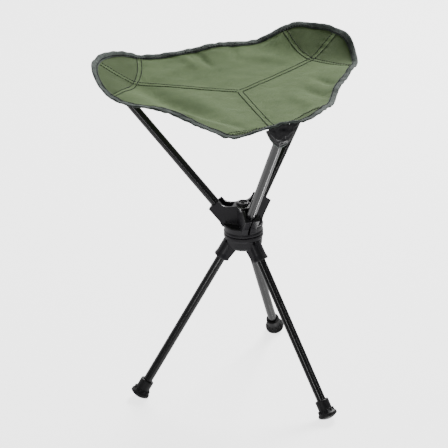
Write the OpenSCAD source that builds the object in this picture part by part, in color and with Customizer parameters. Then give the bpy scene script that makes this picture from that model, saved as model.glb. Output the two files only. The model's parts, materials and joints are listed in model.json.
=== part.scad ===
// Folding three leg stool: a swivel hub joins three lower legs to three upper arms,
// and a three panel cloth seat is stretched between the arms' tips.
// Origin: on the swivel axis, at the height of the ground. Corner 1 of the seat points to -Y.

/* [Tubes] */
// Outer diameter of all six tubes
tube_d = 15; // [12:0.5:19]
// Wall thickness of the tubes
tube_wall = 1.2; // [0.8:0.1:1.6]
// Leg tube, from its pivot pin to its lower end
leg_len = 306; // [240:1:380]
// Arm tube, from its pivot pin to its upper end
arm_len = 312; // [240:1:380]
// How far each tube runs past its pivot pin
tube_overrun = 7; // [6:0.5:8]
// Angle of an open leg from the vertical
leg_angle = 32.5; // [26:0.5:38]
// Angle of an open arm from the vertical
arm_angle = 39.5; // [32:0.5:44]
// Turn of the legs from the arms about the swivel axis
rest_swivel = 28; // [0:1:119]

/* [Hub] */
// Outer radius of both hub rings
hub_r = 32.5; // [29:0.5:38]
// Radius of the leg pivot pins from the swivel axis
leg_pin_r = 21.5; // [21:0.5:26]
// Radius of the arm pivot pins from the swivel axis
arm_pin_r = 24; // [22:0.5:28]
// Depth of the leg pins under the joint face between the hubs
leg_pin_drop = 14; // [13.5:0.5:18]
// Height of the arm pins over the joint face between the hubs
arm_pin_rise = 21; // [19:0.5:26]
// Height of the lower hub's skirt under the joint face
skirt_h = 24; // [24:1:34]
// Height of the upper hub's ring over the joint face
ring_h = 17; // [14:0.5:20]
// Height of the centre boss over the joint face
boss_h = 53; // [50:1:58]
// Radius of the centre boss
boss_r = 10.6; // [9.5:0.1:12]
// Length of the leg sockets, from the pin along the leg
socket_len = 32; // [26:1:44]
// Length of the arm channels, from the pin along the arm
channel_len = 35; // [30:1:44]
// Plastic on each side of a tube in its socket
cheek_t = 4.4; // [3.5:0.1:6]
// Thickness of the channel's outer wall behind an arm
stop_wall = 3.5; // [3:0.5:9]
// Width of the slit in the channel's outer wall
slit_w = 3.2; // [2:0.1:5]

/* [Fasteners] */
// Diameter of the pivot pins
pin_d = 5; // [4:0.5:6]
// Diameter of the swivel bolt
bolt_d = 8; // [6:1:8]
// Diameter of the swivel bolt's head
bolt_head_d = 13; // [12:0.5:14]
// Height of the swivel bolt's head
bolt_head_h = 6; // [5:0.5:8]
// How far the bolt's head sits under the top of the boss
bolt_sunk = 2; // [1:0.5:4]
// Diameter of the hexagon socket in the bolt's head, across its corners
bolt_socket_d = 6.9; // [5:0.1:7.5]
// Width of the swivel nut across its flats
nut_af = 13; // [10:0.5:13]
// Height of the swivel nut
nut_h = 8; // [6:0.5:9]
// Thickness of the steel washers
washer_t = 1.2; // [0.8:0.1:2]
// Outer diameter of the bearing washer between the hubs
bearing_d = 36; // [26:1:44]
// Thickness of the bearing washer
bearing_t = 2; // [1.5:0.1:3]

/* [Feet] */
// Outer radius of the rubber foot's sleeve
foot_sleeve_r = 11.4; // [9:0.1:12]
// Outer radius of the foot's flange
foot_flange_r = 16; // [13:0.1:18]
// Radius of the foot's domed sole
foot_dome_r = 26; // [24:1:34]
// Rubber under the end of the leg
foot_sole_t = 6.5; // [5:0.5:10]
// Length of the sleeve over the leg
foot_grip = 25; // [18:1:34]
// Depth that the sole is flattened where it stands
foot_flat = 0.6; // [0.3:0.1:1]
// Steel disc inside the foot
foot_disc_t = 1.5; // [1:0.1:2.5]
// Height of the foot's flange
foot_flange_h = 4.5; // [2:0.5:7]
// Ribs between the sleeve and the flange
foot_ribs = 12; // [6:1:18]

/* [Seat] */
// Radius of the seat's three rounded corners
corner_r = 90; // [70:1:110]
// How far the cloth reaches past the arm's tip
corner_over = 12; // [8:1:18]
// How far the middle of each edge is pulled in
edge_pull = 5; // [0:0.5:12]
// Depth of the seat's centre under the arms' tips
centre_dip = 23; // [10:1:50]
// Lift of the cloth from the centre to the edges
edge_lift = 13; // [6:1:30]
// Lift of each corner lobe over its arc seam
lobe_lift = 31; // [15:1:45]
// Length of each corner lobe, from its arc seam to its rim
lobe_len = 67; // [50:1:85]
// Radius of the arc seams
arc_seam_r = 182; // [120:1:260]
// Thickness of the cloth
cloth_t = 1.4; // [1:0.1:2]
// Width of the binding tape along the rim
binding_w = 9; // [6:0.5:12]
// Thickness of the binding over both faces
binding_t = 3.2; // [2:0.1:5]
// Half width of the pockets that hold the arms' tips
pocket_half_w = 25; // [20:1:40]
// How far a pocket's mouth lies from the arm's tip
pocket_depth = 37; // [28:1:50]
// Width of the tape round a pocket's mouth
mouth_tape_w = 7; // [4:0.5:9]

/* [Clearances] */
// Radial gap of a tube on its pivot pin and of the hub on its bolt
running_gap = 0.05; // [0.02:0.01:0.08]
// Gap round a tube in its socket
socket_gap = 0.45; // [0.4:0.05:0.7]
// Gap between the two hub rings
hub_gap = 0.8; // [0.6:0.1:1.2]
// Gap between parts that turn past one another
turn_gap = 0.3; // [0.2:0.05:0.5]
// Gap between cloth pieces that fold past one another
cloth_gap = 0.4; // [0.3:0.05:0.8]

/* [Hidden] */
LEGS = [1, 2, 3];
SIDES = ["left", "right"];
$fn = 48;

tube_r = tube_d / 2;
slot_r = tube_r + socket_gap;
// The slot is a little narrower than its round end, so that the two cut cleanly
slot_w = 2 * (slot_r - 0.1);
pin_len = slot_w + 2 * cheek_t - 3;

// Along a leg, measured from its pin
foot_end = leg_len + foot_disc_t + foot_sole_t;
dome_centre = foot_end - foot_dome_r;
// The dome is cut at the ground, so the ground is z = 0
leg_pin_z = dome_centre * cos(leg_angle) + foot_dome_r - foot_flat;
seam_z = leg_pin_z + leg_pin_drop;
arm_pin_z = seam_z + arm_pin_rise;

// The swept end of a tube round its pin
pivot_r = sqrt(pow(tube_overrun, 2) + pow(tube_r, 2)) + socket_gap;
leg_reach = socket_len + 30;
arm_reach = channel_len + 30;
cut = 1;

// Bolt, nut and washers stack along the swivel axis
bolt_head_z = seam_z + boss_h - bolt_sunk - bolt_head_h;
bolt_seat_z = bolt_head_z - washer_t - turn_gap;
bolt_end_z = seam_z - skirt_h + 1;
nut_top_z = bolt_end_z + nut_h;
bearing_r = bearing_d / 2;

// Arm tip and seat, in the upright plane through one arm
cap_r = tube_r;
tip_len = arm_len + cap_r;
tip_r = arm_pin_r + tip_len * sin(arm_angle);
tip_z = arm_pin_z + tip_len * cos(arm_angle);
seat_r = tip_r + corner_over;
corner_c = seat_r - corner_r;
side_r = corner_c / 2 + corner_r;
tangent_at = atan2(corner_r * sin(60), corner_c + corner_r * cos(60));
seam_apex = seat_r - lobe_len;
arc_c = seam_apex + arc_seam_r;
spoke_lift = 8;
lobe_curve = 1.3;

function leg_turn(i) = -90 + rest_swivel + 120 * (i - 1);
function arm_turn(i) = -90 + 120 * (i - 1);
function sign_of(side) = side == "left" ? -1 : 1;

// Rim of the seat, seen from above, at an angle from the nearest corner
function side_pull(a) = edge_pull * pow(sin(90 * (a - tangent_at) / (60 - tangent_at)), 2);
function rim_r(a) = a < tangent_at
    ? corner_c * cos(a) + sqrt(pow(corner_r, 2) - pow(corner_c * sin(a), 2))
    : side_r / cos(60 - a) - side_pull(a);

// Height of the cloth at a radius and an angle from the nearest corner
function lift_at(a) = spoke_lift + (edge_lift - spoke_lift) * min(1, a / tangent_at);
function past_seam(r, a) = max(0, arc_seam_r - norm([r * cos(a) - arc_c, r * sin(a)]));
function cloth_z(r, a) = tip_z - centre_dip + lift_at(a) * pow(r / rim_r(a), 2)
    + lobe_lift * pow(past_seam(r, a) / lobe_len, lobe_curve);

// A closed slab over a grid of surface points: rows[i][j] is a point, t its thickness
module slab(rows, t, dir = [0, 0, 1]) {
    n = len(rows);
    m = len(rows[0]);
    layer = n * m;
    upper = [for (row = rows) for (p = row) p + dir * t / 2];
    lower = [for (row = rows) for (p = row) p - dir * t / 2];
    top = [for (i = [0:n - 2]) for (j = [0:m - 2]) let (k = i * m + j)
        each [[k, k + m, k + 1], [k + 1, k + m, k + m + 1]]];
    bottom = [for (f = top) [f[2] + layer, f[1] + layer, f[0] + layer]];
    edge = concat(
        [for (j = [0:m - 1]) j],
        [for (i = [1:n - 1]) i * m + m - 1],
        [for (j = [m - 2:-1:0]) (n - 1) * m + j],
        [for (i = [n - 2:-1:1]) i * m]
    );
    q = len(edge);
    wall = [for (e = [0:q - 1]) let (a = edge[e], b = edge[(e + 1) % q])
        each [[a, b, b + layer], [a, b + layer, a + layer]]];
    polyhedron(points = concat(upper, lower), faces = concat(top, bottom, wall), convexity = 6);
}

module mirrored(side) {
    if (side == "left") mirror([0, 1, 0]) children();
    else children();
}

// Local +Z runs down a leg from its pin
module on_leg(i) {
    rotate([0, 0, leg_turn(i)]) translate([leg_pin_r, 0, leg_pin_z])
        rotate([0, 180 - leg_angle, 0]) children();
}

// Local +Z runs up an arm from its pin
module on_arm(i) {
    rotate([0, 0, arm_turn(i)]) translate([arm_pin_r, 0, arm_pin_z])
        rotate([0, arm_angle, 0]) children();
}

// A cylinder along the local Y axis, centred
module cross_cylinder(r, h) {
    rotate([90, 0, 0]) cylinder(r = r, h = h, center = true);
}

// Room for a tube to turn from the open angle to the vertical; up is 1 for an arm, -1 for a leg
module swing_room(angle, reach, up) {
    rotate([90, 0, 0]) translate([0, 0, -slot_w / 2]) linear_extrude(slot_w)
        polygon([[0, 0], [-slot_r, 0], [-slot_r, up * reach],
            [reach * sin(angle), up * reach], [reach * sin(angle), up * reach * cos(angle)]]);
    rotate([0, up > 0 ? angle : 180 - angle, 0]) cylinder(r = slot_r, h = reach);
    cross_cylinder(pivot_r, slot_w);
}

module tube(len) {
    difference() {
        translate([0, 0, -tube_overrun]) cylinder(d = tube_d, h = len + tube_overrun);
        translate([0, 0, -tube_overrun - cut])
            cylinder(r = tube_r - tube_wall, h = len + tube_overrun + 2 * cut);
        cross_cylinder(pin_d / 2 + running_gap, tube_d + 2);
    }
}

module leg_socket_shell() {
    r = slot_r + cheek_t;
    flare = 1.2;
    rotate_extrude() polygon([
        [0, 2 - pivot_r], [r - 1.5, 2 - pivot_r], [r, 4 - pivot_r], [r, socket_len - 9],
        [r + flare, socket_len - 2], [r + flare - 1, socket_len], [0, socket_len]]);
}

// The cheeks on both sides of a leg, from where it stands open to where it hangs folded
module leg_cheeks() {
    sink = 3;
    top = leg_pin_drop - skirt_h + sink;
    mouth = (socket_len - 1.5) * [sin(leg_angle), -cos(leg_angle)];
    inner = mouth - slot_r * [cos(leg_angle), sin(leg_angle)];
    rotate([90, 0, 0]) translate([0, 0, -slot_w / 2 - cheek_t])
        linear_extrude(slot_w + 2 * cheek_t) polygon([[-slot_r - sink, top], inner, mouth, [slot_r, top]]);
}

module lower_hub() color("#303033") {
    lip = 1.2;
    skirt_r = hub_r - 2.2;
    difference() {
        union() {
            rotate_extrude() polygon([
                [0, seam_z], [hub_r - 0.8, seam_z], [hub_r, seam_z - 0.8], [hub_r, seam_z - 6],
                [hub_r - lip, seam_z - 7.5], [skirt_r, seam_z - skirt_h + 4],
                [skirt_r - 3, seam_z - skirt_h], [0, seam_z - skirt_h]]);
            for (i = LEGS) rotate([0, 0, leg_turn(i)]) translate([leg_pin_r, 0, leg_pin_z]) leg_cheeks();
            intersection() {
                union() for (i = LEGS) on_leg(i) leg_socket_shell();
                cylinder(r = hub_r + leg_reach, h = seam_z - 1);
            }
        }
        for (i = LEGS) rotate([0, 0, leg_turn(i)]) translate([leg_pin_r, 0, leg_pin_z]) {
            swing_room(leg_angle, leg_reach, -1);
            cross_cylinder(pin_d / 2, pin_len + 0.2);
        }
        translate([0, 0, seam_z - skirt_h - cut]) cylinder(d = bolt_d, h = skirt_h + 2 * cut);
        translate([0, 0, seam_z - skirt_h - cut])
            cylinder(r = nut_af / sqrt(3) + 0.1, h = nut_top_z - seam_z + skirt_h + cut, $fn = 6);
        translate([0, 0, seam_z - bearing_t / 2])
            cylinder(r = bearing_r + turn_gap, h = bearing_t);
    }
}

// One channel's outline in the upright plane through its arm, from the pin
module channel_outline() {
    end_x = channel_len * sin(arm_angle);
    end_z = channel_len * cos(arm_angle);
    out = slot_r + stop_wall;
    lip = slot_r + 2.5;
    dip = 6;
    sink = 4;
    step = 3.5;
    tip = [end_x + out * cos(arm_angle), end_z - out * sin(arm_angle)];
    inner = [end_x - lip * cos(arm_angle), end_z + lip * sin(arm_angle)];
    root = [boss_r - arm_pin_r - sink, boss_h - arm_pin_rise - step];
    heel = [pivot_r + 2, -2];
    chin = [hub_r - arm_pin_r + 0.5, -pivot_r + 0.5];
    top_edge = [for (k = [0:6]) let (s = k / 6)
        inner + (root - inner) * s - [0, dip * sin(180 * pow(s, 0.65))]];
    polygon(concat([[root[0], chin[1]], chin, heel, tip], top_edge));
}

module upper_hub() color("#303033") {
    base_z = seam_z + hub_gap;
    band_z = seam_z + 6;
    neck_r = hub_r - 1;
    difference() {
        union() {
            rotate_extrude() polygon([
                [0, base_z], [hub_r - 0.8, base_z], [hub_r, base_z + 0.8], [hub_r, band_z - 1],
                [neck_r, band_z], [hub_r + 0.4, seam_z + ring_h - 1.2],
                [hub_r - 0.8, seam_z + ring_h], [0, seam_z + ring_h]]);
            translate([0, 0, seam_z + ring_h - 1]) rotate_extrude() polygon([
                [0, 0], [boss_r, 0], [boss_r, boss_h - ring_h], [boss_r - 1, boss_h - ring_h + 1],
                [0, boss_h - ring_h + 1]]);
            for (i = LEGS) rotate([0, 0, arm_turn(i)]) translate([arm_pin_r, 0, arm_pin_z])
                rotate([90, 0, 0]) translate([0, 0, -slot_w / 2 - cheek_t])
                    linear_extrude(slot_w + 2 * cheek_t) channel_outline();
        }
        for (i = LEGS) rotate([0, 0, arm_turn(i)]) {
            translate([arm_pin_r, 0, arm_pin_z]) {
                swing_room(arm_angle, arm_reach, 1);
                cross_cylinder(pin_d / 2, slot_w + 2 * cheek_t + 6);
            }
            translate([arm_pin_r, -slit_w / 2, band_z + 1]) cube([hub_r, slit_w, boss_h]);
        }
        translate([0, 0, seam_z]) cylinder(r = bolt_d / 2 + running_gap, h = boss_h + cut);
        translate([0, 0, bolt_seat_z]) cylinder(r = bolt_head_d / 2 + turn_gap, h = boss_h);
        translate([0, 0, seam_z - cut])
            cylinder(r = bearing_r + turn_gap, h = cut + bearing_t / 2 + turn_gap);
    }
}

module swivel_bolt() color("#3c3c3f") {
    socket_depth = 4;
    difference() {
        union() {
            translate([0, 0, bolt_head_z]) cylinder(d = bolt_head_d, h = bolt_head_h);
            translate([0, 0, bolt_end_z]) cylinder(d = bolt_d, h = bolt_head_z - bolt_end_z + cut);
        }
        translate([0, 0, bolt_head_z + bolt_head_h - socket_depth])
            cylinder(d = bolt_socket_d, h = socket_depth + cut, $fn = 6);
    }
}

module swivel_nut() color("silver") {
    translate([0, 0, nut_top_z - nut_h]) difference() {
        cylinder(r = nut_af / sqrt(3), h = nut_h, $fn = 6);
        translate([0, 0, -cut]) cylinder(d = bolt_d, h = nut_h + 2 * cut);
    }
}

module ring_washer(inner_r, outer_r, t, z) {
    translate([0, 0, z]) difference() {
        cylinder(r = outer_r, h = t);
        translate([0, 0, -cut]) cylinder(r = inner_r, h = t + 2 * cut);
    }
}

module head_washer() color("silver")
    ring_washer(bolt_d / 2 + turn_gap, bolt_head_d / 2, washer_t, bolt_seat_z);

module bearing_washer() color("#e8e6de")
    ring_washer(bolt_d / 2, bearing_r, bearing_t, seam_z - bearing_t / 2);

module leg_tube(i) color("#1a1a1c") on_leg(i) tube(leg_len);

module arm_tube(i) color("#1a1a1c") on_arm(i) tube(arm_len);

module leg_pin(i) color("silver") on_leg(i) cross_cylinder(pin_d / 2, pin_len);

module arm_pin(i) color("silver") on_arm(i) cross_cylinder(pin_d / 2, pin_len);

module foot(i) color("#151515") {
    sleeve_top = leg_len - foot_grip;
    flange_z = dome_centre + sqrt(pow(foot_dome_r, 2) - pow(foot_flange_r, 2));
    dome_a = asin(foot_flange_r / foot_dome_r);
    neck_z = flange_z - foot_flange_h;
    neck_flare = foot_flange_r - foot_sleeve_r;
    rib_t = 1.4;
    rib_h = 6.5;
    rib_reach = 3.2;
    steps = 6;
    intersection() {
        on_leg(i) difference() {
            union() {
                rotate_extrude() polygon(concat(
                    [[0, sleeve_top], [foot_sleeve_r - 0.6, sleeve_top],
                    [foot_sleeve_r, sleeve_top + 0.8], [foot_sleeve_r, neck_z - 7.5],
                    [foot_sleeve_r + neck_flare * 0.2, neck_z - 4.5],
                    [foot_sleeve_r + neck_flare * 0.6, neck_z - 1.5],
                    [foot_flange_r - 0.6, neck_z], [foot_flange_r, neck_z + 0.8]],
                    [for (k = [0:steps]) let (a = dome_a * (1 - k / steps))
                        [foot_dome_r * sin(a), dome_centre + foot_dome_r * cos(a)]]));
                for (k = [1:foot_ribs]) rotate([0, 0, 360 * k / foot_ribs])
                    translate([foot_sleeve_r - 0.5, -rib_t / 2, neck_z - rib_h])
                        cube([rib_reach, rib_t, rib_h]);
            }
            translate([0, 0, sleeve_top - cut]) cylinder(d = tube_d, h = foot_grip + foot_disc_t + cut);
        }
        translate([-500, -500, 0]) cube([1000, 1000, 400]);
    }
}

module foot_disc(i) color("silver")
    on_leg(i) translate([0, 0, leg_len]) cylinder(r = tube_r - 0.2, h = foot_disc_t);

module arm_cap(i) color("#151515") {
    plug_len = 18;
    on_arm(i) translate([0, 0, arm_len]) rotate_extrude() polygon(concat(
        [[0, -plug_len], [tube_r - tube_wall - 0.6, -plug_len], [tube_r - tube_wall, -plug_len + 1],
        [tube_r - tube_wall, 0]],
        [for (k = [0:8]) let (a = 90 * k / 8) [cap_r * cos(a), cap_r * sin(a)]]));
}

// Half of a seat panel or of its binding: from share v0 to share v1 of the way to the rim
module cloth_half(i, side, inner, outer, t, rings) {
    steps = 12;
    rows = [for (k = [0:rings]) [for (j = [0:steps]) let (
            a = 60 * j / steps, r0 = inner(a), r = r0 + (outer(a) - r0) * k / rings)
        [r * cos(a), r * sin(a), cloth_z(r, a)]]];
    rotate([0, 0, arm_turn(i)]) mirrored(side)
        translate([cloth_gap * cos(30), cloth_gap * sin(30), 0]) slab(rows, t);
}

module seat_panel(i, side) color("#6f7f55")
    cloth_half(i, side, function (a) 1, function (a) rim_r(a) - binding_w, cloth_t, 9);

module seat_binding(i, side) color("#5a6b5e")
    cloth_half(i, side, function (a) rim_r(a) - binding_w, function (a) rim_r(a), binding_t, 2);

// A pocket hangs under a lobe's rim and wraps the arm's tip from outside
pocket_lean = [cos(26), 0, -sin(26)];
pocket_bulge = 7.5;
pocket_wrap = 13;
tape_from = 1 - mouth_tape_w / norm(pocket_low() - pocket_top(0));
function under_lobe(x, y) = let (r = norm([x, y]), a = abs(atan2(y, x)))
    [x, y, cloth_z(r, a) - binding_t / 2 - cloth_gap - cloth_t / 2];
function pocket_top(s) = let (y = pocket_half_w * s)
    under_lobe(corner_c + sqrt(pow(corner_r - 2.5, 2) - y * y), y);
function pocket_low() = let (along = tip_len - pocket_depth, off = tube_r + 2.2)
    [arm_pin_r + along * sin(arm_angle) + off * cos(arm_angle), 0,
    arm_pin_z + along * cos(arm_angle) - off * sin(arm_angle)];
function pocket_side(s) = under_lobe(pocket_top(s)[0] - pocket_wrap, pocket_half_w * s);
function pocket_mouth(s) = let (low = pocket_low(), end = pocket_side(s), w = pow(cos(90 * s), 0.8))
    [end[0] + (low[0] - end[0]) * w, pocket_half_w * s, end[2] + (low[2] - end[2]) * w];
function pocket_at(s, v) = let (a = pocket_top(s), b = pocket_mouth(s),
        bulge = pocket_bulge * sin(180 * v) * pow(cos(90 * s), 0.7))
    a + (b - a) * v + bulge * pocket_lean;

module pocket_sheet(i, v0, v1, t, rings) {
    steps = 12;
    rows = [for (k = [0:rings]) [for (j = [0:steps])
        pocket_at(0.97 * (2 * j / steps - 1), v0 + (v1 - v0) * k / rings)]];
    rotate([0, 0, arm_turn(i)]) slab(rows, t, pocket_lean);
}

module pocket(i) color("#101012") pocket_sheet(i, 0.04, tape_from, 1, 5);

module pocket_tape(i) color("#5a6b5e") pocket_sheet(i, tape_from, 1, 2.2, 1);

lower_hub();
upper_hub();
swivel_bolt();
swivel_nut();
head_washer();
bearing_washer();
for (i = LEGS) {
    leg_tube(i);
    arm_tube(i);
    leg_pin(i);
    arm_pin(i);
    foot(i);
    foot_disc(i);
    arm_cap(i);
    pocket(i);
    pocket_tape(i);
    for (side = SIDES) {
        seat_panel(i, side);
        seat_binding(i, side);
    }
}
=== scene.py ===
"""The looks of a three leg stool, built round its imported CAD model.

Lengths are in millimetres and angles in degrees unless a comment says otherwise, and meshes are
turned into metres. Materials, the floor, the lamps and the camera are in metres.
Corner 1 of the seat points to -Y, and corners 2 and 3 follow it anticlockwise seen from above.
A half panel is named by its corner and by its side of the corner's spoke, seen from the hub.
"""
import json
import math

import bmesh
import bpy
import numpy as np
from mathutils import Matrix, Vector

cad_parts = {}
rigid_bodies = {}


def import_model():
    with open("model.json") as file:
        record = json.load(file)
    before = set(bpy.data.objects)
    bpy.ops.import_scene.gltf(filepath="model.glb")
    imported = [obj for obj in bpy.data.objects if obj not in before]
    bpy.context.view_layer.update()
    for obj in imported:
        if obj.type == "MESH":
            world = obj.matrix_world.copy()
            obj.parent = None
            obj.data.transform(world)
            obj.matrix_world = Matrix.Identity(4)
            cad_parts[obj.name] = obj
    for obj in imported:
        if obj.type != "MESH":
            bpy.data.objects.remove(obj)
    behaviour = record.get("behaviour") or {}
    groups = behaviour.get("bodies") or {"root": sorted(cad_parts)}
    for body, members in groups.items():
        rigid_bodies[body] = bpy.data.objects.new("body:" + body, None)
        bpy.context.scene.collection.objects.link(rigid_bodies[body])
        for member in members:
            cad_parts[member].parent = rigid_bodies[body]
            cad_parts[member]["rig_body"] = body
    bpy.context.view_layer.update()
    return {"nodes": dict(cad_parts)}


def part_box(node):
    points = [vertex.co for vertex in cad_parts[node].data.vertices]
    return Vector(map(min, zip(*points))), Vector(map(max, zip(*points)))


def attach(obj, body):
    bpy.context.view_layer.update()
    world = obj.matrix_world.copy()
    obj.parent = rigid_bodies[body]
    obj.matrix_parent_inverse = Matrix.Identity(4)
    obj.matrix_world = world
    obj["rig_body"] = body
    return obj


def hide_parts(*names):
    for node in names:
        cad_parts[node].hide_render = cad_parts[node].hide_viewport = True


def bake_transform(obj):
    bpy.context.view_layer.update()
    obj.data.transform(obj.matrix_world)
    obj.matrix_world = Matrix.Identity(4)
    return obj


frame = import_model()

MM = 0.001
CORNERS = (1, 2, 3)
SIDES = {"left": -1, "right": 1}

# Seat, with the CAD model's own sizes
CORNER_R = 90
CORNER_OVER = 12
EDGE_PULL = 5
CENTRE_DIP = 23
EDGE_LIFT = 13
SPOKE_LIFT = 8
LOBE_LIFT = 31
LOBE_LEN = 67
LOBE_CURVE = 1.3
ARC_SEAM_R = 182
ARM_ANGLE = 39.5
TUBE_R = 7.5
BINDING_W = 9

# Slope of the fold line between two corners' panels, in a corner's own plan
FOLD_SLOPE = math.tan(math.radians(60))

# Sewn details
CLOTH_T = 1.2
SEAM_W = 10.4
STITCH_LEN = 3.9
STITCH_STEP = 4.4
STITCH_R = 0.62
# Where a seam's groove and its stitches lie, as a share of its half width, and how high the stitches sit
SEAM_GROOVE = 0.77
STITCH_LIFT = 0.95
TAPE_STITCH_LIFT = 1.5
ARC_SEAM_SHARE = 0.9
# How finely the cloth and the swept strips are divided
PANEL_LINES = 80
PANEL_POINTS = 136
BINDING_STEP = 1.5
SEAM_STEP = 1.6
# How far the panel reaches under the binding, as a share of the binding's width
UNDER_BINDING = 0.45

# Pockets
POCKET_HALF_W = 25
POCKET_DEPTH = 37
POCKET_WRAP = 13
POCKET_BULGE = 7.5
POCKET_LEAN = 26
POCKET_DROP = 2.4
POCKET_DROP_LEN = 54
POCKET_TUBE_GAP = 2.2


def node_box(node):
    low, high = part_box(node)
    return np.array(low) / MM, np.array(high) / MM


cap_low, cap_high = node_box("arm_cap_1")
tip_r = -cap_low[1] - TUBE_R + TUBE_R * math.sin(math.radians(ARM_ANGLE))
tip_z = cap_high[2] - TUBE_R + TUBE_R * math.cos(math.radians(ARM_ANGLE))
seat_r = tip_r + CORNER_OVER
corner_c = seat_r - CORNER_R
side_r = corner_c / 2 + CORNER_R
tangent_at = math.degrees(math.atan2(CORNER_R * math.sin(math.pi / 3),
                                     corner_c + CORNER_R * math.cos(math.pi / 3)))
seam_apex = seat_r - LOBE_LEN
arc_c = seam_apex + ARC_SEAM_R


def arm_turn(corner):
    return math.radians(-90 + 120 * (corner - 1))


# ---------------------------------------------------------------- the seat's surface


def rim_r(a):
    """Radius of the seat's rim at angle a, in degrees, from the nearest corner."""
    a = np.asarray(a, float)
    round_part = corner_c * np.cos(np.radians(a)) + np.sqrt(
        np.maximum(0, CORNER_R**2 - (corner_c * np.sin(np.radians(a))) ** 2))
    pull = EDGE_PULL * np.sin(np.pi / 2 * (a - tangent_at) / (60 - tangent_at)) ** 2
    straight = side_r / np.cos(np.radians(60 - a)) - pull
    return np.where(a < tangent_at, round_part, straight)


def ripples(x, y, size, seed, waves=9):
    """A smooth random field of about unit height, with bumps of about that size."""
    rng = np.random.default_rng(seed)
    total = np.zeros_like(x)
    for _ in range(waves):
        turn = rng.uniform(0, 2 * math.pi)
        length = size * rng.uniform(0.75, 1.5)
        total += np.sin(2 * math.pi * (x * math.cos(turn) + y * math.sin(turn)) / length
                        + rng.uniform(0, 2 * math.pi))
    return total / math.sqrt(waves / 2)


def crease(x, y, start, end, height, width):
    """One soft fold of the cloth between two places on the plan, fading out at both ends."""
    ax, ay = start
    dx, dy = end[0] - ax, end[1] - ay
    length = math.hypot(dx, dy)
    along = ((x - ax) * dx + (y - ay) * dy) / length**2
    off = ((x - ax) * dy - (y - ay) * dx) / length
    fade = np.sin(np.pi * np.clip(along, 0, 1)) ** 1.5
    return height * fade * np.exp(-(off / width) ** 2)


# Folds seen from above: start, end, height, width
CREASES = (
    ((-162, 104), (-60, -160), -12.0, 21),
    ((-178, -18), (-48, -172), 4.5, 11),
    ((-96, 40), (-30, -150), 2.5, 18),
    ((-32, 166), (-16, 92), -3.0, 7),
    ((-56, 160), (-40, 100), 3.0, 9),
    ((40, 168), (22, 108), -2.5, 8),
    ((120, 90), (34, 132), 3.0, 14),
    ((-122, 92), (-30, 126), 3.0, 14),
    ((92, -10), (118, -112), -4.5, 11),
    ((124, 14), (148, -66), -4.5, 9),
    ((66, -36), (84, -128), 3.0, 12),
    ((170, -10), (110, -120), 3.5, 9),
    ((-20, -196), (-76, -112), -3.0, 11),
    ((22, -190), (80, -104), -3.0, 11),
)

# Where the rim stands up or hangs, seen from above: place, height, width. Each lobe is a little twisted.
SWELLS = (
    ((76, -194), 22, 46), ((-66, -206), -3, 34), ((-46, -200), -3, 16),
    ((222, 55), -14, 32), ((136, 160), 24, 42), ((10, 160), 10, 60), ((-140, 162), 7, 36),
    ((-196, -5), -8, 40),
)
# The binding leans out at the front and stands up at the back, over this width of the rim
LEAN_OUT = 3.5
STAND_UP = 5.5
LEAN_W = 8


# Small ripples of the cloth: height, size, seed
BROAD = (0.5, 88, 3)
FINE = (0.16, 30, 5)
AT_SPOKE = (0.22, 12, 11)
AT_ARC = (0.26, 12, 17)
AT_RIM = (0.4, 17, 23)
TAPE_FINE = (0.14, 11, 31)
TAPE_BROAD = (0.3, 26, 37)
# How far from the spoke, the arc seam and the rim their ripples reach, and where the centre is calm
SPOKE_W = 11
ARC_W = 9
RIM_W = 13
CALM_R = 30
# The spoke holds the cloth taut this far to each side
SLACK_W = 14


def pucker(x, y, kind):
    height, size, seed = kind
    return height * ripples(x, y, size, seed)


def seat_z(x, y):
    """Height of the middle of the cloth over a place on the plan."""
    r = np.hypot(x, y)
    turn = np.degrees(np.arctan2(y, x)) + 90
    signed = (turn + 60) % 120 - 60
    a = np.abs(signed)
    lx, ly = r * np.cos(np.radians(a)), r * np.sin(np.radians(a))
    rim = rim_r(a)
    lift = SPOKE_LIFT + (EDGE_LIFT - SPOKE_LIFT) * np.minimum(1, a / tangent_at)
    past = ARC_SEAM_R - np.hypot(lx - arc_c, ly)
    lobe = LOBE_LIFT * (np.maximum(0, past) / LOBE_LEN) ** LOBE_CURVE
    z = tip_z - CENTRE_DIP + lift * (r / rim) ** 2 + lobe
    inboard = np.maximum(0, rim - r)
    slack = 1 - np.exp(-((ly / SLACK_W) ** 2))
    lean = np.interp(y, (-seat_r, 0, seat_r), (-LEAN_OUT, 0, STAND_UP))
    z = z + lean * np.exp(-((inboard / LEAN_W) ** 2)) * slack
    z = z + pucker(x, y, BROAD) * slack
    z = z + pucker(x, y, FINE)
    for start, end, height, width in CREASES:
        z = z + crease(x, y, start, end, height, width)
    for (middle_x, middle_y), height, width in SWELLS:
        z = z + height * np.exp(-((x - middle_x) ** 2 + (y - middle_y) ** 2) / width**2)
    z = z + pucker(x, y, AT_SPOKE) * np.exp(-((ly / SPOKE_W) ** 2)) * np.minimum(1, r / CALM_R)
    z = z + pucker(x, y, AT_ARC) * np.exp(-((past / ARC_W) ** 2))
    z = z + pucker(x, y, AT_RIM) * np.exp(-((inboard / RIM_W) ** 2))
    return z


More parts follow.
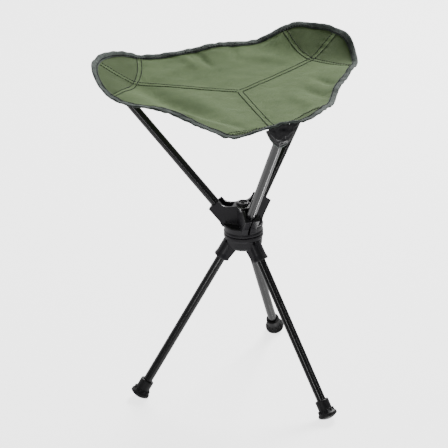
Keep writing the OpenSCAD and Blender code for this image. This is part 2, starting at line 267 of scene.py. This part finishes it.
def on_seat(corner, side, x, y, lift=0.0):
    """World points over places in a corner's own plan, x out along its spoke and y to the side."""
    turn = arm_turn(corner)
    x, y = np.broadcast_arrays(np.asarray(x, float), np.asarray(y, float) * SIDES[side])
    wx = x * math.cos(turn) - y * math.sin(turn)
    wy = x * math.sin(turn) + y * math.cos(turn)
    h = 0.6
    gx = (seat_z(wx + h, wy) - seat_z(wx - h, wy)) / (2 * h)
    gy = (seat_z(wx, wy + h) - seat_z(wx, wy - h)) / (2 * h)
    normal = np.stack([-gx, -gy, np.ones_like(gx)], -1)
    normal /= np.linalg.norm(normal, axis=-1, keepdims=True)
    points = np.stack([wx, wy, seat_z(wx, wy)], -1)
    return points + np.asarray(lift)[..., None] * normal if np.ndim(lift) else points + lift * normal


# ---------------------------------------------------------------- mesh helpers


def new_piece(name, points, faces, material, uv=None, crease_at=50):
    mesh = bpy.data.meshes.new(name)
    mesh.from_pydata((np.asarray(points) * MM).tolist(), [], faces)
    if uv is not None:
        loops = np.zeros(len(mesh.loops), np.int64)
        mesh.loops.foreach_get("vertex_index", loops)
        layer = mesh.uv_layers.new(name="threads")
        layer.data.foreach_set("uv", np.asarray(uv, np.float32)[loops].ravel())
    work = bmesh.new()
    work.from_mesh(mesh)
    bmesh.ops.recalc_face_normals(work, faces=work.faces)
    work.to_mesh(mesh)
    work.free()
    mesh.materials.append(material)
    mesh.shade_smooth()
    mesh.set_sharp_from_angle(angle=math.radians(crease_at))
    piece = bpy.data.objects.new(name, mesh)
    bpy.context.scene.collection.objects.link(piece)
    return piece


def swept_faces(rings, sides, offset=0, closed_ends=True):
    """Faces of a solid swept through rings of an even number of points, with both ends closed by strips."""
    faces = []
    for i in range(rings - 1):
        a, b = offset + i * sides, offset + (i + 1) * sides
        for k in range(sides):
            n = (k + 1) % sides
            faces.append((a + k, a + n, b + n, b + k))
    if closed_ends:
        for first in (offset, offset + (rings - 1) * sides):
            for k in range(sides // 2 - 1):
                faces.append((first + k, first + k + 1, first + sides - 2 - k, first + sides - 1 - k))
    return faces


def swept(name, rings, uv, material, crease_at=50):
    n, m = rings.shape[:2]
    return new_piece(name, rings.reshape(-1, 3), swept_faces(n, m), material, uv.reshape(-1, 2), crease_at)


def mirrored_section(half):
    """A closed cross-section from its upper half: offsets across and up, then the same below."""
    upper = np.array(half, float)
    lower = upper[::-1] * [1, -1]
    return np.concatenate([upper, lower])


# ---------------------------------------------------------------- materials


def new_material(name, base, roughness=0.5, **sockets):
    material = bpy.data.materials.new(name)
    material.use_nodes = True
    shader = material.node_tree.nodes["Principled BSDF"]
    shader.inputs["Base Color"].default_value = (*base, 1)
    shader.inputs["Roughness"].default_value = roughness
    for socket, value in sockets.items():
        shader.inputs[socket.replace("_", " ")].default_value = value
    return material, material.node_tree.nodes, material.node_tree.links, shader


def add(nodes, kind, **values):
    node = nodes.new(kind)
    for key, value in values.items():
        if hasattr(node, key):
            setattr(node, key, value)
        else:
            node.inputs[key.replace("_", " ")].default_value = value
    return node


def maths(nodes, links, operation, first, second, clamp=False):
    node = nodes.new("ShaderNodeMath")
    node.operation = operation
    node.use_clamp = clamp
    for k, value in enumerate((first, second)):
        if isinstance(value, (int, float)):
            node.inputs[k].default_value = value
        else:
            links.new(value, node.inputs[k])
    return node.outputs[0]


def spread(nodes, links, vector, scale, detail=3.0, roughness=0.55):
    noise = add(nodes, "ShaderNodeTexNoise", Scale=scale, Detail=detail, Roughness=roughness)
    links.new(vector, noise.inputs["Vector"])
    return noise.outputs["Fac"]


def ramp(nodes, links, factor, *stops):
    node = nodes.new("ShaderNodeValToRGB")
    elements = node.color_ramp.elements
    for element, (place, colour) in zip(elements, (stops[0], stops[-1])):
        element.position = place
        element.color = (*colour, 1)
    for place, colour in stops[1:-1]:
        elements.new(place).color = (*colour, 1)
    links.new(factor, node.inputs["Fac"])
    return node.outputs["Color"]


def mix(nodes, links, kind, factor, first, second):
    node = nodes.new("ShaderNodeMix")
    node.data_type = "RGBA"
    node.blend_type = kind
    for socket_name, value in (("Factor", factor), ("A", first), ("B", second)):
        socket = node.inputs[socket_name]
        if isinstance(value, (int, float)):
            socket.default_value = value
        elif isinstance(value, tuple):
            socket.default_value = (*value, 1)
        else:
            links.new(value, socket)
    return node.outputs["Result"]


def bump(nodes, links, shader, height, distance, strength=1.0):
    node = add(nodes, "ShaderNodeBump", Strength=strength, Distance=distance)
    links.new(height, node.inputs["Height"])
    links.new(node.outputs["Normal"], shader.inputs["Normal"])
    return node


def thread_waves(nodes, links, uv, pitch):
    """Heights of two sets of crossing threads over a map in metres."""
    split = nodes.new("ShaderNodeSeparateXYZ")
    links.new(uv, split.inputs[0])
    rows = []
    for axis in ("X", "Y"):
        turns = maths(nodes, links, "MULTIPLY", split.outputs[axis], 2 * math.pi / pitch)
        rows.append(maths(nodes, links, "SINE", turns, 0))
    return rows


def woven(name, dark, light, pitch, height, roughness, sheen, ribbed=False):
    """A woven cloth: threads over and under each other, slubs, and soft changes of shade."""
    material, nodes, links, shader = new_material(
        name, light, roughness, Sheen_Weight=sheen, Sheen_Roughness=0.45, Specular_IOR_Level=0.3)
    uv = nodes.new("ShaderNodeUVMap").outputs["UV"]
    warp, weft = thread_waves(nodes, links, uv, pitch)
    if ribbed:
        weave = maths(nodes, links, "ADD", maths(nodes, links, "MULTIPLY", warp, 0.8),
                      maths(nodes, links, "MULTIPLY", weft, 0.3))
    else:
        weave = maths(nodes, links, "MULTIPLY", warp, weft)
    slubs = spread(nodes, links, uv, 480, 3)
    soft = spread(nodes, links, uv, 22, 3)
    worn = spread(nodes, links, uv, 90, 4)
    shade = maths(nodes, links, "ADD", maths(nodes, links, "MULTIPLY", soft, 0.55),
                  maths(nodes, links, "MULTIPLY", worn, 0.45))
    thread = maths(nodes, links, "ADD", maths(nodes, links, "MULTIPLY", weave, 0.12),
                   maths(nodes, links, "MULTIPLY", slubs, 0.6))
    factor = maths(nodes, links, "ADD", shade, maths(nodes, links, "SUBTRACT", thread, 0.3), clamp=True)
    colour = ramp(nodes, links, factor, (0.25, dark), (0.75, light))
    links.new(colour, shader.inputs["Base Color"])
    rough = maths(nodes, links, "ADD", maths(nodes, links, "MULTIPLY", worn, 0.12), roughness - 0.06)
    links.new(rough, shader.inputs["Roughness"])
    heights = maths(nodes, links, "ADD", weave, maths(nodes, links, "MULTIPLY", slubs, 1.2))
    bump(nodes, links, shader, heights, height)
    return material


def seat_cloth_material():
    material = woven("seat_cloth", (0.100, 0.156, 0.057), (0.146, 0.212, 0.086), 0.0009, 0.00010,
                     0.82, 0.08)
    nodes, links = material.node_tree.nodes, material.node_tree.links
    shader = nodes["Principled BSDF"]
    # Painted shade: where the lobe mask is set, the cloth's colour is multiplied down, standing in for the
    # shade that falls on the lobes that tilt up to the corners
    lobe = add(nodes, "ShaderNodeAttribute", attribute_name="lobe")
    plain = shader.inputs["Base Color"].links[0].from_socket
    painted_lobe_shade = mix(nodes, links, "MULTIPLY", lobe.outputs["Fac"], plain, (0.66, 0.68, 0.60))
    links.new(painted_lobe_shade, shader.inputs["Base Color"])
    return material


def moulded(name, dark, light, roughness, grain, height, scale=1800, coat=0.0):
    """A moulded plastic or rubber: fine grain and flow marks."""
    material, nodes, links, shader = new_material(
        name, light, roughness, Coat_Weight=coat, Coat_Roughness=0.2)
    place = nodes.new("ShaderNodeTexCoord").outputs["Object"]
    fine = spread(nodes, links, place, scale, 3)
    flow = spread(nodes, links, place, 60, 4)
    colour = ramp(nodes, links, flow, (0.3, dark), (0.7, light))
    links.new(colour, shader.inputs["Base Color"])
    rough = maths(nodes, links, "ADD", maths(nodes, links, "MULTIPLY", fine, grain), roughness - grain / 2)
    links.new(rough, shader.inputs["Roughness"])
    bump(nodes, links, shader, fine, height)
    return material


def steel(name, tone, roughness):
    material, nodes, links, shader = new_material(name, (tone,) * 3, roughness, Metallic=1.0)
    place = nodes.new("ShaderNodeTexCoord").outputs["Object"]
    brushed = spread(nodes, links, place, 700, 3)
    stain = spread(nodes, links, place, 90, 3)
    colour = ramp(nodes, links, stain, (0.3, (tone * 0.8,) * 3), (0.7, (tone, tone, tone * 1.02)))
    links.new(colour, shader.inputs["Base Color"])
    rough = maths(nodes, links, "ADD", maths(nodes, links, "MULTIPLY", brushed, 0.15), roughness - 0.07)
    links.new(rough, shader.inputs["Roughness"])
    bump(nodes, links, shader, brushed, 0.00002)
    return material


def enamel():
    """Black powder coat on tube: faint orange peel and dust that dulls it here and there."""
    material, nodes, links, shader = new_material(
        "tube_enamel", (0.012, 0.012, 0.014), 0.3, Coat_Weight=0.5, Coat_Roughness=0.08,
        Specular_IOR_Level=0.6)
    place = nodes.new("ShaderNodeTexCoord").outputs["Object"]
    peel = spread(nodes, links, place, 900, 2)
    dust = spread(nodes, links, place, 45, 5)
    colour = ramp(nodes, links, dust, (0.35, (0.010, 0.010, 0.012)), (0.75, (0.018, 0.018, 0.020)))
    links.new(colour, shader.inputs["Base Color"])
    rough = maths(nodes, links, "ADD", maths(nodes, links, "MULTIPLY", dust, 0.14), 0.16)
    links.new(rough, shader.inputs["Roughness"])
    bump(nodes, links, shader, peel, 0.000006)
    return material


SEAT_CLOTH = seat_cloth_material()
EDGE_TAPE = woven("edge_tape", (0.042, 0.058, 0.050), (0.080, 0.104, 0.090), 0.0011, 0.00016,
                  0.62, 0.1, ribbed=True)
POCKET_CLOTH = woven("pocket_cloth", (0.006, 0.006, 0.008), (0.016, 0.016, 0.019), 0.0010, 0.00004,
                     0.24, 0.0)
# Painted light: the pocket mouth's tape is a lighter copy of the edge tape, standing in for the light that
# its downward-facing band does not get
MOUTH_TAPE_PAINTED_LIT = woven("mouth_tape_painted_lighter", (0.085, 0.110, 0.098), (0.150, 0.185, 0.168), 0.0011, 0.00016,
                   0.5, 0.1, ribbed=True)
THREAD = moulded("stitch_thread", (0.006, 0.009, 0.006), (0.014, 0.018, 0.012), 0.8, 0.1, 0.00004)
ENAMEL = enamel()
HUB_PLASTIC = moulded("hub_plastic", (0.028, 0.026, 0.032), (0.042, 0.040, 0.047), 0.34, 0.12, 0.00004)
FOOT_RUBBER = moulded("foot_rubber", (0.014, 0.014, 0.016), (0.028, 0.028, 0.030), 0.50, 0.14, 0.00005)
CAP_PLASTIC = moulded("cap_plastic", (0.012, 0.012, 0.013), (0.022, 0.022, 0.024), 0.5, 0.1, 0.00003)
NYLON = moulded("bearing_nylon", (0.55, 0.54, 0.48), (0.68, 0.66, 0.60), 0.45, 0.1, 0.00003)
PIN_STEEL = steel("pin_steel", 0.09, 0.42)
BOLT_STEEL = steel("bolt_steel", 0.11, 0.42)


# ---------------------------------------------------------------- the cloth pieces

rim_angles = np.linspace(0, 60, 601)


def rim_line(inset):
    """The rim, or a line inside it, in a corner's own plan, with the outward directions."""
    r = rim_r(rim_angles)
    x, y = r * np.cos(np.radians(rim_angles)), r * np.sin(np.radians(rim_angles))
    dx, dy = np.gradient(x), np.gradient(y)
    length = np.hypot(dx, dy)
    out = np.stack([dy / length, -dx / length], -1)
    out[0] = (1, 0)
    out[-1] = (math.cos(math.pi / 3), math.sin(math.pi / 3))
    return np.stack([x, y], -1) - inset * out, out


def evenly(points, step):
    """A fractional index along a line of points at even steps, both ends included."""
    gaps = np.linalg.norm(np.diff(points, axis=0), axis=1)
    s = np.concatenate([[0], np.cumsum(gaps)])
    count = max(2, int(round(s[-1] / step)) + 1)
    return np.linspace(0, s[-1], count), s


def along(points, s, at):
    return np.stack([np.interp(at, s, points[:, k]) for k in range(points.shape[1])], -1)


def seat_panel(corner, side):
    """Half a panel of cloth, from the spoke to the fold line, on lines that run parallel to the spoke."""
    edge, _ = rim_line(BINDING_W * UNDER_BINDING)
    near = np.array([0, 0.8, 1.8, 3.0])
    top = edge[-1, 1] - 0.2
    lines = np.concatenate([near, np.linspace(4.6, top, PANEL_LINES)])
    share = np.linspace(0, 1, PANEL_POINTS)
    y = np.repeat(lines[:, None], len(share), 1)
    x0 = y / FOLD_SLOPE
    x1 = np.interp(lines, edge[:, 1], edge[:, 0])[:, None]
    x = x0 + (x1 - x0) * share
    upper = on_seat(corner, side, x, y, CLOTH_T / 2)
    lower = on_seat(corner, side, x, y, -CLOTH_T / 2)
    rings = np.concatenate([upper, lower[:, ::-1]], 1)
    flat = np.stack([x, y], -1) * MM
    uv = np.concatenate([flat, flat[:, ::-1]], 1)
    piece = swept(f"seat_cloth_{corner}_{side}", rings, uv, SEAT_CLOTH)
    # The lobe mask, past the arc seam, on which the seat cloth's material paints shade
    past = ARC_SEAM_R - np.hypot(x - arc_c, y)
    lobe = np.clip(past / 2 + 0.5, 0, 1)
    values = np.concatenate([lobe, lobe[:, ::-1]], 1).ravel()
    attribute = piece.data.attributes.new("lobe", "FLOAT", "POINT")
    attribute.data.foreach_set("value", values.astype(np.float32))
    return piece


BINDING_SECTION = mirrored_section((
    (-BINDING_W, 0.75), (-BINDING_W + 0.15, 1.25), (-7.6, 1.42), (-6.9, 1.3), (-5.5, 1.55), (-3.5, 1.7),
    (-1.6, 1.72), (-0.2, 1.45), (0.7, 0.85), (1.05, 0.3)))


def seat_binding(corner, side):
    """The tape folded over the rim, with the small wrinkles of a tape sewn round a curve."""
    edge, out = rim_line(0)
    at, s = evenly(edge, BINDING_STEP)
    place, outward = along(edge, s, at), along(out, s, at)
    outward /= np.linalg.norm(outward, axis=1, keepdims=True)
    across, up = BINDING_SECTION[:, 0], BINDING_SECTION[:, 1]
    x = place[:, None, 0] + across * outward[:, None, 0]
    y = place[:, None, 1] + across * outward[:, None, 1]
    turn = arm_turn(corner)
    ys = y * SIDES[side]
    wx, wy = x * math.cos(turn) - ys * math.sin(turn), x * math.sin(turn) + ys * math.cos(turn)
    wrinkle = pucker(wx, wy, TAPE_FINE) + pucker(wx, wy, TAPE_BROAD)
    lift = up + np.sign(up) * wrinkle * np.clip(np.abs(up) - 0.7, 0, 1)
    rings = on_seat(corner, side, x, y, lift)
    uv = np.stack(np.broadcast_arrays(at[:, None], across * np.sign(up)), -1) * MM
    return swept(f"seat_edge_{corner}_{side}", rings, uv, EDGE_TAPE)


def strip(name, corner, side, centre, out, width, material, halves=False):
    """A folded strip of cloth sewn down along a line of the seat."""
    half = width / 2
    section = [(0, 0.96), (0.35, 1.0), (0.66, 0.92), (SEAM_GROOVE, 0.66), (0.88, 0.84), (0.96, 0.8), (1, 0.5)]
    section = [(k * half, h) for k, h in section]
    if not halves:
        section = [(-k, h) for k, h in section[:0:-1]] + section
    upper = np.array(section)
    floor = upper[::-1].copy()
    floor[:, 1] = 0.1
    section = np.concatenate([upper, floor])
    at, s = evenly(centre, SEAM_STEP)
    place, outward = along(centre, s, at), along(out, s, at)
    x = place[:, None, 0] + section[:, 0] * outward[:, None, 0]
    y = place[:, None, 1] + section[:, 0] * outward[:, None, 1]
    x = np.maximum(x, y / FOLD_SLOPE)
    y = np.maximum(y, 0)
    rings = on_seat(corner, side, x, y, np.broadcast_to(section[:, 1], x.shape))
    uv = np.stack(np.broadcast_arrays(at[:, None], section[:, 0]), -1) * MM
    return swept(name, rings, uv, material)


def spoke_line():
    r = np.linspace(0, seat_r - BINDING_W * 0.6, 300)
    return np.stack([r, np.zeros_like(r)], -1), np.stack([np.zeros_like(r), np.ones_like(r)], -1)


def arc_line(radius=ARC_SEAM_R):
    """The arc seam from the spoke to where it meets the binding, with directions out to the lobe."""
    phi = np.radians(np.linspace(0, 40, 400))
    points = np.stack([arc_c - radius * np.cos(phi), radius * np.sin(phi)], -1)
    out = np.stack([np.cos(phi), -np.sin(phi)], -1)
    a = np.degrees(np.arctan2(points[:, 1], points[:, 0]))
    inside = np.hypot(points[:, 0], points[:, 1]) < rim_r(np.clip(a, 0, 60)) - BINDING_W * 0.8
    return points[inside], out[inside]


def stitches(corner, side):
    """Every stitch of one half panel, as one mesh of short sunk threads."""
    lines = []
    gap = SEAM_W / 2 * SEAM_GROOVE
    r = np.linspace(gap / FOLD_SLOPE + 1, seat_r - BINDING_W - 0.5, 200)
    lines.append((np.stack([r, np.full_like(r, gap)], -1), STITCH_LIFT))
    for radius in (ARC_SEAM_R - gap * ARC_SEAM_SHARE, ARC_SEAM_R + gap * ARC_SEAM_SHARE):
        lines.append((arc_line(radius)[0], STITCH_LIFT))
    lines.append((rim_line(BINDING_W - 2.1)[0], TAPE_STITCH_LIFT))
    points, faces, flat = [], [], []
    across = np.array([math.cos(k * math.pi / 3) for k in range(6)])
    height = np.array([math.sin(k * math.pi / 3) for k in range(6)])
    taper = np.array([[-0.5, 0.35], [-0.36, 0.95], [0, 1.1], [0.36, 0.95], [0.5, 0.35]])
    sink = np.array([-0.45, 0.1, 0.3, 0.1, -0.45]) * STITCH_R * 2
    for line, lift in lines:
        at, s = evenly(line, STITCH_STEP)
        for middle in (at[:-1] + at[1:]) / 2:
            place = along(line, s, middle + taper[:, 0] * STITCH_LEN)
            heading = place[-1] - place[0]
            heading /= np.linalg.norm(heading)
            width = across[None, :] * taper[:, 1:] * STITCH_R
            x = place[:, None, 0] - heading[1] * width
            y = np.maximum(0.05, place[:, None, 1] + heading[0] * width)
            up = lift + sink[:, None] + height[None, :] * taper[:, 1:] * STITCH_R
            rings = on_seat(corner, side, x, y, up)
            faces += swept_faces(len(taper), 6, len(points) * 6 * len(taper))
            points.append(rings.reshape(-1, 3))
            flat.append(np.stack([x, y], -1).reshape(-1, 2) * MM)
    return new_piece(f"stitches_{corner}_{side}", np.concatenate(points), faces, THREAD,
                     np.concatenate(flat), 70)


def sew_half(corner, side):
    panel = seat_panel(corner, side)
    binding = seat_binding(corner, side)
    spoke = strip(f"spoke_seam_{corner}_{side}", corner, side, *spoke_line(), SEAM_W, SEAT_CLOTH,
                  halves=True)
    arc = strip(f"arc_seam_{corner}_{side}", corner, side, *arc_line(), SEAM_W * ARC_SEAM_SHARE,
                SEAT_CLOTH)
    thread = stitches(corner, side)
    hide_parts(f"seat_panel_{corner}_{side}")
    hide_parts(f"seat_binding_{corner}_{side}")
    for piece, slot in ((panel, "seat_cloth"), (binding, "edge_tape"), (spoke, "seat_cloth"),
                        (arc, "seat_cloth"), (thread, "edge_tape")):
        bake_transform(piece)
    edge, _ = rim_line(0)


for corner in CORNERS:
    for side in SIDES:
        sew_half(corner, side)


# ---------------------------------------------------------------- pockets


def under_lobe(corner, x, y):
    turn = arm_turn(corner)
    wx, wy = x * math.cos(turn) - y * math.sin(turn), x * math.sin(turn) + y * math.cos(turn)
    return np.stack([x, y, seat_z(wx, wy) - POCKET_DROP], -1)


def pocket_points(corner, s, v):
    """The pocket's sheet in its corner's frame: s runs across from -1 to 1, v from the rim to the mouth."""
    y = POCKET_HALF_W * s
    top_x = corner_c + np.sqrt((CORNER_R - 2.5) ** 2 - y**2)
    top, end = under_lobe(corner, top_x, y), under_lobe(corner, top_x - POCKET_WRAP, y)
    lean = math.radians(ARM_ANGLE)
    off = TUBE_R + POCKET_TUBE_GAP
    low_x = tip_r - POCKET_DEPTH * math.sin(lean) + off * math.cos(lean)
    low_z = tip_z - POCKET_DEPTH * math.cos(lean) - off * math.sin(lean)
    w = np.cos(np.pi / 2 * s) ** 0.8
    mouth = np.stack([end[..., 0] + (low_x - end[..., 0]) * w, y,
                      end[..., 2] + (low_z - end[..., 2]) * w], -1)
    bulge = POCKET_BULGE * np.sin(np.pi * v) * np.cos(np.pi / 2 * s) ** 0.7
    out = np.array([math.cos(math.radians(POCKET_LEAN)), 0, -math.sin(math.radians(POCKET_LEAN))])
    return top + (mouth - top) * v[..., None] + bulge[..., None] * out


def pocket_sheet(name, corner, v0, v1, thickness, rows, material, wrinkle):
    s, v = np.meshgrid(np.linspace(-0.97, 0.97, 61), np.linspace(v0, v1, rows))
    points = pocket_points(corner, s, v)
    ds = pocket_points(corner, s + 1e-3, v) - pocket_points(corner, s - 1e-3, v)
    dv = pocket_points(corner, s, v + 1e-3) - pocket_points(corner, s, v - 1e-3)
    normal = np.cross(dv, ds)
    normal /= np.linalg.norm(normal, axis=-1, keepdims=True)
    normal *= np.sign(normal[..., :1] + 1e-9)
    arc = POCKET_HALF_W * s
    drop = POCKET_DROP_LEN * v
    folds = wrinkle * (0.7 * ripples(arc, drop, 16, 40 + corner) + 0.3 * ripples(arc, drop, 7, 50 + corner))
    edge = np.clip((0.97 - np.abs(s)) * 8, 0, 1)
    middle = points + (folds * edge)[..., None] * normal
    rings = np.concatenate([middle + normal * thickness / 2, (middle - normal * thickness / 2)[:, ::-1]], 1)
    turn = Matrix.Rotation(arm_turn(corner), 3, "Z")
    rings = rings @ np.array(turn).T
    flat = np.stack([arc, drop], -1) * MM
    piece = swept(name, rings, np.concatenate([flat, flat[:, ::-1]], 1), material)
    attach(piece, f"arm_{corner}")
    return piece


for corner in CORNERS:
    pocket = pocket_sheet(f"pocket_sheet_{corner}", corner, 0.0, 0.89, 1.0, 36, POCKET_CLOTH, 0.8)
    mouth = pocket_sheet(f"pocket_mouth_{corner}", corner, 0.875, 1.0, 2.2, 7, MOUTH_TAPE_PAINTED_LIT, 0.25)
    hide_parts(f"pocket_{corner}")
    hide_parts(f"pocket_tape_{corner}")


# ---------------------------------------------------------------- moulded pieces


# Voxel size and rounds of smoothing, which set the fillets
HUB_VOXEL = 0.55
HUB_ROUNDS = 6
FOOT_VOXEL = 0.45
FOOT_ROUNDS = 4


def softened(node, name, voxel, rounds, material):
    """A copy of a CAD node with the small fillets of a moulded piece."""
    source = frame["nodes"][node]
    mesh = source.data.copy()
    piece = bpy.data.objects.new(name, mesh)
    bpy.context.scene.collection.objects.link(piece)
    remesh = piece.modifiers.new("remesh", "REMESH")
    remesh.mode = "VOXEL"
    remesh.voxel_size = voxel * MM
    smooth = piece.modifiers.new("smooth", "SMOOTH")
    smooth.factor = 0.5
    smooth.iterations = rounds
    bpy.context.view_layer.update()
    done = bpy.data.meshes.new_from_object(piece.evaluated_get(bpy.context.evaluated_depsgraph_get()))
    piece.modifiers.clear()
    piece.data = done
    done.materials.clear()
    done.materials.append(material)
    done.shade_smooth()
    body = source["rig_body"]
    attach(piece, body)
    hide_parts(node)
    return piece


for node, name, slot in (("lower_hub", "leg_hub", "hub_plastic"), ("upper_hub", "arm_hub", "hub_plastic")):
    softened(node, name, HUB_VOXEL, HUB_ROUNDS, HUB_PLASTIC)
for k in CORNERS:
    foot = softened(f"foot_{k}", f"rubber_foot_{k}", FOOT_VOXEL, FOOT_ROUNDS, FOOT_RUBBER)


# The finish of each CAD node, by the start of its name; a longer name comes before a shorter one
CAD_FINISHES = (
    ("leg_tube", ENAMEL), ("arm_tube", ENAMEL), ("leg_pin", PIN_STEEL), ("arm_pin", PIN_STEEL),
    ("foot_disc", PIN_STEEL), ("arm_cap", CAP_PLASTIC), ("swivel_bolt", BOLT_STEEL),
    ("swivel_nut", PIN_STEEL), ("head_washer", PIN_STEEL), ("bearing_washer", NYLON),
    ("lower_hub", HUB_PLASTIC), ("upper_hub", HUB_PLASTIC), ("foot", FOOT_RUBBER),
    ("pocket_tape", MOUTH_TAPE_PAINTED_LIT), ("pocket", POCKET_CLOTH), ("seat_panel", SEAT_CLOTH),
    ("seat_binding", EDGE_TAPE),
)
for node, piece in frame["nodes"].items():
    finish = next(f for prefix, f in CAD_FINISHES if node.startswith(prefix))
    piece.data.materials.clear()
    piece.data.materials.append(finish)


# ---------------------------------------------------------------- floor, light and camera


# The floor, the lamps and the camera are in metres. The floor glows, so that it renders pale.
FLOOR_GLOW = 2.6
FLOOR_SIZE = 60
# The world's brightness from below, from the far side and from all other ways
BOUNCE = 0.72
BACKDROP = 0.9
ROOM = 0.10
# How far below level the light from below begins, as a share of a unit direction, and how fast it grows
FLOOR_EDGE = 0.28
FLOOR_RAMP = -4
BACK_RAMP = 1.1
# Distance of a strip lamp from its tube
STREAK_AWAY = 2.5
LAMP_AIM = (0, 0, 0.35)


def floor():
    half = FLOOR_SIZE / 2
    corners = [(-half, -half, 0), (half, -half, 0), (half, half, 0), (-half, half, 0)]
    mesh = bpy.data.meshes.new("floor")
    mesh.from_pydata(corners, [], [(0, 1, 2, 3)])
    material = new_material("floor_paper", (0.9, 0.9, 0.9), 0.9, Specular_IOR_Level=0.0,
                            Emission_Color=(1, 1, 1, 1), Emission_Strength=FLOOR_GLOW)[0]
    mesh.materials.append(material)
    piece = bpy.data.objects.new("floor", mesh)
    bpy.context.scene.collection.objects.link(piece)
    piece.visible_diffuse = False
    piece.visible_glossy = False
    piece.visible_shadow = False


def softbox(name, place, aim, width, height, power, along=(0, 0, 1)):
    """A rectangular light at a place, turned to the aim, with its height along a direction."""
    light = bpy.data.lights.new(name, "AREA")
    light.shape = "RECTANGLE"
    light.size, light.size_y = width, height
    light.energy = power
    lamp = bpy.data.objects.new(name, light)
    away = (Vector(place) - Vector(aim)).normalized()
    upright = Vector(along)
    upright = (upright - upright.dot(away) * away).normalized()
    turn = Matrix((upright.cross(away), upright, away)).transposed().to_4x4()
    lamp.matrix_world = Matrix.Translation(place) @ turn
    bpy.context.scene.collection.objects.link(lamp)


def streak(name, node, azimuth, rise, width, height, power):
    """A strip light parallel to a tube, which draws one thin bright line down it."""
    low, high = (Vector(corner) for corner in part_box(node))
    middle = (low + high) / 2
    points = [vertex.co for vertex in frame["nodes"][node].data.vertices]
    top, bottom = max(points, key=lambda p: p.z), min(points, key=lambda p: p.z)
    spin = Matrix.Rotation(math.radians(azimuth), 3, "Z")
    way = spin @ Matrix.Rotation(math.radians(-rise), 3, "Y") @ Vector((1, 0, 0))
    softbox(name, middle + STREAK_AWAY * way, middle, width, height, power, top - bottom)


def surroundings():
    """A pale floor and backdrop for the pieces to mirror, and a dim room behind the camera."""
    world = bpy.data.worlds.new("studio")
    world.use_nodes = True
    nodes, links = world.node_tree.nodes, world.node_tree.links
    split = nodes.new("ShaderNodeSeparateXYZ")
    links.new(nodes.new("ShaderNodeTexCoord").outputs["Generated"], split.inputs[0])
    below = maths(nodes, links, "ADD", split.outputs["Z"], FLOOR_EDGE)
    down = maths(nodes, links, "MULTIPLY", below, FLOOR_RAMP, clamp=True)
    back = maths(nodes, links, "MULTIPLY", split.outputs["Y"], BACK_RAMP, clamp=True)
    wall = maths(nodes, links, "ADD", maths(nodes, links, "MULTIPLY", back, BACKDROP - ROOM), ROOM)
    above = maths(nodes, links, "MULTIPLY", wall, maths(nodes, links, "SUBTRACT", 1.0, down))
    strength = maths(nodes, links, "ADD", maths(nodes, links, "MULTIPLY", down, BOUNCE), above)
    links.new(strength, nodes["Background"].inputs["Strength"])
    nodes["Background"].inputs["Color"].default_value = (1, 1, 1, 1)
    bpy.context.scene.world = world


def studio():
    surroundings()
    softbox("overhead", (1.7, 1.8, 2.7), LAMP_AIM, 1.4, 1.4, 168)
    softbox("front_left", (-2.6, -1.4, 1.6), LAMP_AIM, 0.4, 2.0, 2)
    softbox("right", (1.8, -2.2, 0.7), LAMP_AIM, 0.08, 2.0, 4)
    streak("leg_streak", "leg_tube_1", -128, 9, 0.20, 1.0, 4)
    streak("left_arm_streak", "arm_tube_3", -112, -4, 0.08, 1.0, 1.5)
    streak("front_arm_streak", "arm_tube_1", 45, -66, 0.22, 0.9, 6)


CAMERA_AT = (-0.7949, -2.7518, 1.6385)
CAMERA_YAW = 15.48
CAMERA_DOWN = 25.11
CAMERA_ROLL = -1.81
CAMERA_LENS = 155.2


def camera():
    data = bpy.data.cameras.new("camera")
    data.lens = CAMERA_LENS
    data.sensor_width = 36
    data.clip_end = 100
    eye = bpy.data.objects.new("camera", data)
    look = Matrix.Rotation(math.radians(-CAMERA_YAW), 4, "Z") @ Matrix.Rotation(
        math.radians(90 - CAMERA_DOWN), 4, "X") @ Matrix.Rotation(math.radians(CAMERA_ROLL), 4, "Z")
    eye.matrix_world = Matrix.Translation(CAMERA_AT) @ look
    bpy.context.scene.collection.objects.link(eye)
    bpy.context.scene.camera = eye


floor()
studio()
camera()
